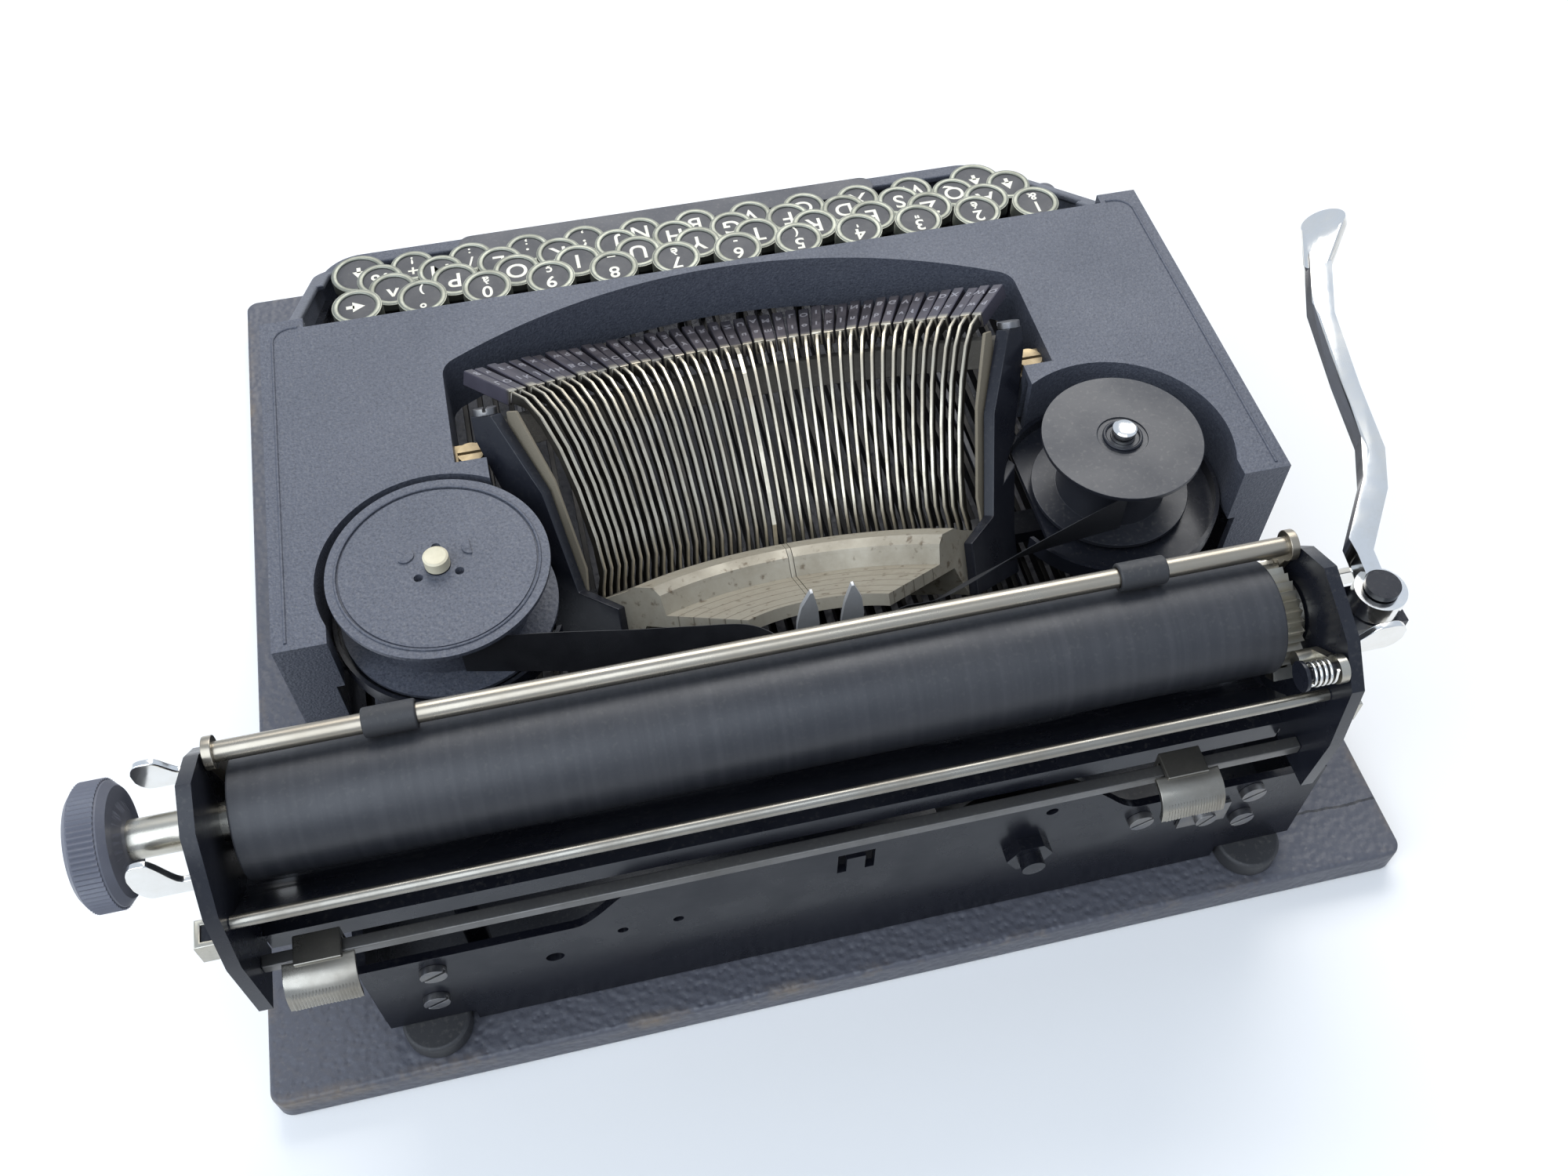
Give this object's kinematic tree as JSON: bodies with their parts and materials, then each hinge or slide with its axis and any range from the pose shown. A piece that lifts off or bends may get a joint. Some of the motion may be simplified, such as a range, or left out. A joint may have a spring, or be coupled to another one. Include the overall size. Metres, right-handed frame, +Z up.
{
  "type": "portable typewriter",
  "caption": "Portable typewriter on a base board: ring-topped keys, fanned type-bar basket, ribbon spools, and a sliding carriage with platen, paper bail and return lever.",
  "frame": {"origin": "middle of the base board's underside", "axes": "+Z up, -Y towards the typist, +X to the typist's right"},
  "size_m": [0.3186, 0.2921, 0.1257],
  "materials": {
    "leatherette": "covered, satin",
    "black_rubber": "matt",
    "black_enamel": "gloss",
    "crinkle_paint": "fine crinkle",
    "nickel": "aged nickel",
    "bright_nickel": "polished",
    "steel": "plain",
    "type_steel": "worn",
    "brass_tab": "aged",
    "felt": "felt",
    "inked_tape": "woven",
    "black_plastic": "satin"
  },
  "bodies": {
    "base": {"base_board": "leatherette", "rubber_feet": "black_rubber", "main_frame": "black_enamel", "rear_plate": "black_enamel", "top_cover": "crinkle_paint", "keyboard_surround": "crinkle_paint", "type_segment": "nickel", "segment_arms": "black_enamel", "type_rest": "felt", "spool_cups": "black_enamel", "fulcrum_rod": "nickel", "cover_brackets": "brass_tab", "frame_screws": "nickel", "type_bars": "type_steel", "ribbon": "inked_tape"},
    "carriage": {"carriage_frame": "black_enamel", "carriage_ends": "black_enamel", "paper_table": "black_enamel", "margin_rail": "nickel", "detent_spring": "nickel"},
    "platen": {"platen_rubber": "black_rubber", "platen_shaft": "nickel", "platen_knob": "black_plastic", "ratchet_wheel": "nickel"},
    "bail_rollers": {"bail_rollers": "black_rubber"},
    "feed_roller": {"feed_roller": "black_rubber"},
    "shift_frame": {"shift_frame": "black_enamel"},
    "spool_left": {"spool_left": "black_enamel"},
    "spool_right": {"spool_right": "crinkle_paint"},
    "detent_roller": {"detent_roller": "nickel"},
    "line_space_pawl": {"line_space_pawl": "nickel"},
    "ribbon_vibrator": {"ribbon_vibrator": "bright_nickel"},
    "return_lever": {"return_lever": "bright_nickel"},
    "paper_bail": {"paper_bail": "bright_nickel"},
    "carriage_release_right": {"carriage_release_right": "bright_nickel"},
    "paper_release_lever": {"paper_release_lever": "bright_nickel"},
    "carriage_release_left": {"carriage_release_left": "bright_nickel"},
    "line_space_selector": {"line_space_selector": "bright_nickel"},
    "margin_stop_right": {"margin_stop_right": "bright_nickel"},
    "margin_stop_left": {"margin_stop_left": "bright_nickel"},
    "mainspring_drum": {"mainspring_drum": "steel"},
    "type_bar_h": {"type_bar_h": "type_steel"},
    "space_bar": {"space_bar": "black_plastic"},
    "shift_keys": {"shift_keys": "nickel"},
    "shift_lock": {"shift_lock": "nickel"},
    "backspace_key": {"backspace_key": "nickel"},
    "number_keys": {"number_keys": "nickel"},
    "upper_row_keys": {"upper_row_keys": "nickel"},
    "lower_row_keys": {"lower_row_keys": "nickel"},
    "key_q": {"key_q": "nickel"},
    "key_s": {"key_s": "nickel"},
    "key_d": {"key_d": "nickel"},
    "key_f": {"key_f": "nickel"},
    "key_g": {"key_g": "nickel"},
    "key_h": {"key_h": "nickel"},
    "key_j": {"key_j": "nickel"},
    "key_k": {"key_k": "nickel"},
    "key_l": {"key_l": "nickel"},
    "key_m": {"key_m": "nickel"},
    "key_percent": {"key_percent": "nickel"}
  },
  "joints": [
    {"name": "vibrator_lift", "type": "slide", "parent": "base", "child": "ribbon_vibrator", "axis": [0, 0, 1], "range_m": [0, 0.008]},
    {"name": "spool_right_turn", "type": "hinge", "parent": "base", "child": "spool_right", "pos_m": [0.086, 0.0555, 0.086], "axis": [0, 0, 1], "continuous": true},
    {"name": "spool_left_turn", "type": "hinge", "parent": "base", "child": "spool_left", "pos_m": [-0.086, 0.0555, 0.086], "axis": [0, 0, 1], "continuous": true},
    {"name": "carriage_shift", "type": "slide", "parent": "base", "child": "shift_frame", "axis": [0, 0, 1], "range_m": [0, 0.0065]},
    {"name": "carriage_slide", "type": "slide", "parent": "shift_frame", "child": "carriage", "axis": [1, 0, 0], "range_m": [-0.118, 0.082]},
    {"name": "drum_turn", "type": "hinge", "parent": "base", "child": "mainspring_drum", "pos_m": [-0.0418, 0.117, 0.0425], "axis": [0, 1, 0], "range_deg": [-345, 240]},
    {"name": "platen_turn", "type": "hinge", "parent": "carriage", "child": "platen", "pos_m": [0, 0.117, 0.102], "axis": [1, 0, 0], "continuous": true},
    {"name": "feed_roller_turn", "type": "hinge", "parent": "carriage", "child": "feed_roller", "pos_m": [0, 0.112, 0.0843], "axis": [1, 0, 0], "continuous": true},
    {"name": "margin_stop_right_slide", "type": "slide", "parent": "carriage", "child": "margin_stop_right", "axis": [1, 0, 0], "range_m": [-0.09, 0]},
    {"name": "margin_stop_left_slide", "type": "slide", "parent": "carriage", "child": "margin_stop_left", "axis": [1, 0, 0], "range_m": [-0.018, 0.08]},
    {"name": "return_lever_swing", "type": "hinge", "parent": "carriage", "child": "return_lever", "pos_m": [-0.122, 0.119, 0.104], "axis": [0, 0, 1], "range_deg": [0, 30], "stiffness_Nm_per_rad": 0.2, "springref_deg": -22.92},
    {"name": "pawl_turn", "type": "hinge", "parent": "carriage", "child": "line_space_pawl", "pos_m": [-0.1, 0.117, 0.102], "axis": [1, 0, 0], "range_deg": [0, 20.5]},
    {"name": "selector_tilt", "type": "hinge", "parent": "carriage", "child": "line_space_selector", "pos_m": [-0.1064, 0.108, 0.092], "axis": [1, 0, 0], "range_deg": [-8, 8]},
    {"name": "detent_tilt", "type": "hinge", "parent": "carriage", "child": "detent_roller", "pos_m": [-0.1, 0.139, 0.111], "axis": [1, 0, 0], "range_deg": [0, 12], "stiffness_Nm_per_rad": 0.0006, "springref_deg": -22.92},
    {"name": "bail_lift", "type": "hinge", "parent": "carriage", "child": "paper_bail", "pos_m": [0, 0.104, 0.092], "axis": [1, 0, 0], "range_deg": [0, 25]},
    {"name": "bail_rollers_turn", "type": "hinge", "parent": "paper_bail", "child": "bail_rollers", "pos_m": [0, 0.1095, 0.117], "axis": [1, 0, 0], "continuous": true},
    {"name": "carriage_release_right_press", "type": "hinge", "parent": "carriage", "child": "carriage_release_right", "pos_m": [0.1384, 0.107, 0.096], "axis": [1, 0, 0], "range_deg": [0, 15], "stiffness_Nm_per_rad": 0.008, "springref_deg": -22.92},
    {"name": "paper_release_tilt", "type": "hinge", "parent": "carriage", "child": "paper_release_lever", "pos_m": [0.1384, 0.129, 0.092], "axis": [-1, 0, 0], "range_deg": [0, 20]},
    {"name": "carriage_release_left_press", "type": "hinge", "parent": "carriage", "child": "carriage_release_left", "pos_m": [-0.1064, 0.128, 0.092], "axis": [-1, 0, 0], "range_deg": [0, 15], "stiffness_Nm_per_rad": 0.008, "springref_deg": -22.92},
    {"name": "type_bar_swing", "type": "hinge", "parent": "base", "child": "type_bar_h", "pos_m": [0, 0.04509, 0.05269], "axis": [-1, 0, 0], "range_deg": [0, 113]},
    {"name": "space_bar_press", "type": "hinge", "parent": "base", "child": "space_bar", "pos_m": [0, 0.064, 0.0305], "axis": [1, 0, 0], "range_deg": [0, 3], "stiffness_Nm_per_rad": 0.5, "springref_deg": -28.65},
    {"name": "shift_keys_press", "type": "hinge", "parent": "base", "child": "shift_keys", "pos_m": [0, 0.064, 0.0305], "axis": [1, 0, 0], "range_deg": [0, 3]},
    {"name": "shift_lock_press", "type": "hinge", "parent": "base", "child": "shift_lock", "pos_m": [0, 0.064, 0.0305], "axis": [1, 0, 0], "range_deg": [0, 2], "stiffness_Nm_per_rad": 0.1, "springref_deg": -28.65},
    {"name": "backspace_key_press", "type": "hinge", "parent": "base", "child": "backspace_key", "pos_m": [0, 0.064, 0.0305], "axis": [1, 0, 0], "range_deg": [0, 3], "stiffness_Nm_per_rad": 0.1, "springref_deg": -28.65},
    {"name": "key_q_press", "type": "hinge", "parent": "base", "child": "key_q", "pos_m": [0, 0.064, 0.0305], "axis": [1, 0, 0], "range_deg": [0, 3], "stiffness_Nm_per_rad": 0.1, "springref_deg": -28.65},
    {"name": "key_s_press", "type": "hinge", "parent": "base", "child": "key_s", "pos_m": [0, 0.064, 0.0305], "axis": [1, 0, 0], "range_deg": [0, 3], "stiffness_Nm_per_rad": 0.1, "springref_deg": -28.65},
    {"name": "key_d_press", "type": "hinge", "parent": "base", "child": "key_d", "pos_m": [0, 0.064, 0.0305], "axis": [1, 0, 0], "range_deg": [0, 3], "stiffness_Nm_per_rad": 0.1, "springref_deg": -28.65},
    {"name": "key_f_press", "type": "hinge", "parent": "base", "child": "key_f", "pos_m": [0, 0.064, 0.0305], "axis": [1, 0, 0], "range_deg": [0, 3], "stiffness_Nm_per_rad": 0.1, "springref_deg": -28.65},
    {"name": "key_g_press", "type": "hinge", "parent": "base", "child": "key_g", "pos_m": [0, 0.064, 0.0305], "axis": [1, 0, 0], "range_deg": [0, 3], "stiffness_Nm_per_rad": 0.1, "springref_deg": -28.65},
    {"name": "key_h_press", "type": "hinge", "parent": "base", "child": "key_h", "pos_m": [0, 0.064, 0.0305], "axis": [1, 0, 0], "range_deg": [0, 3], "stiffness_Nm_per_rad": 0.1, "springref_deg": -28.65},
    {"name": "key_j_press", "type": "hinge", "parent": "base", "child": "key_j", "pos_m": [0, 0.064, 0.0305], "axis": [1, 0, 0], "range_deg": [0, 3], "stiffness_Nm_per_rad": 0.1, "springref_deg": -28.65},
    {"name": "key_k_press", "type": "hinge", "parent": "base", "child": "key_k", "pos_m": [0, 0.064, 0.0305], "axis": [1, 0, 0], "range_deg": [0, 3], "stiffness_Nm_per_rad": 0.1, "springref_deg": -28.65},
    {"name": "key_l_press", "type": "hinge", "parent": "base", "child": "key_l", "pos_m": [0, 0.064, 0.0305], "axis": [1, 0, 0], "range_deg": [0, 3], "stiffness_Nm_per_rad": 0.1, "springref_deg": -28.65},
    {"name": "key_m_press", "type": "hinge", "parent": "base", "child": "key_m", "pos_m": [0, 0.064, 0.0305], "axis": [1, 0, 0], "range_deg": [0, 3], "stiffness_Nm_per_rad": 0.1, "springref_deg": -28.65},
    {"name": "key_percent_press", "type": "hinge", "parent": "base", "child": "key_percent", "pos_m": [0, 0.064, 0.0305], "axis": [1, 0, 0], "range_deg": [0, 3], "stiffness_Nm_per_rad": 0.1, "springref_deg": -28.65},
    {"name": "number_keys_press", "type": "hinge", "parent": "base", "child": "number_keys", "pos_m": [0, 0.064, 0.0305], "axis": [1, 0, 0], "range_deg": [0, 3], "stiffness_Nm_per_rad": 1, "springref_deg": -28.65},
    {"name": "upper_row_keys_press", "type": "hinge", "parent": "base", "child": "upper_row_keys", "pos_m": [0, 0.064, 0.0305], "axis": [1, 0, 0], "range_deg": [0, 3], "stiffness_Nm_per_rad": 1, "springref_deg": -28.65},
    {"name": "lower_row_keys_press", "type": "hinge", "parent": "base", "child": "lower_row_keys", "pos_m": [0, 0.064, 0.0305], "axis": [1, 0, 0], "range_deg": [0, 1.8], "stiffness_Nm_per_rad": 1, "springref_deg": -28.65}
  ],
  "couplings": [
    {"joint": "spool_left_turn", "follows": "spool_right_turn", "ratio": 1.4286},
    {"joint": "drum_turn", "follows": "carriage_slide", "rad_per_m": 50},
    {"joint": "feed_roller_turn", "follows": "platen_turn", "ratio": -2.75},
    {"joint": "bail_rollers_turn", "follows": "platen_turn", "ratio": -4.125},
    {"joint": "pawl_turn", "follows": "return_lever_swing", "ratio": 0.6667},
    {"joint": "shift_keys_press", "follows": "carriage_shift", "rad_per_m": 8},
    {"joint": "key_h_press", "follows": "type_bar_swing", "ratio": 0.0265}
  ]
}
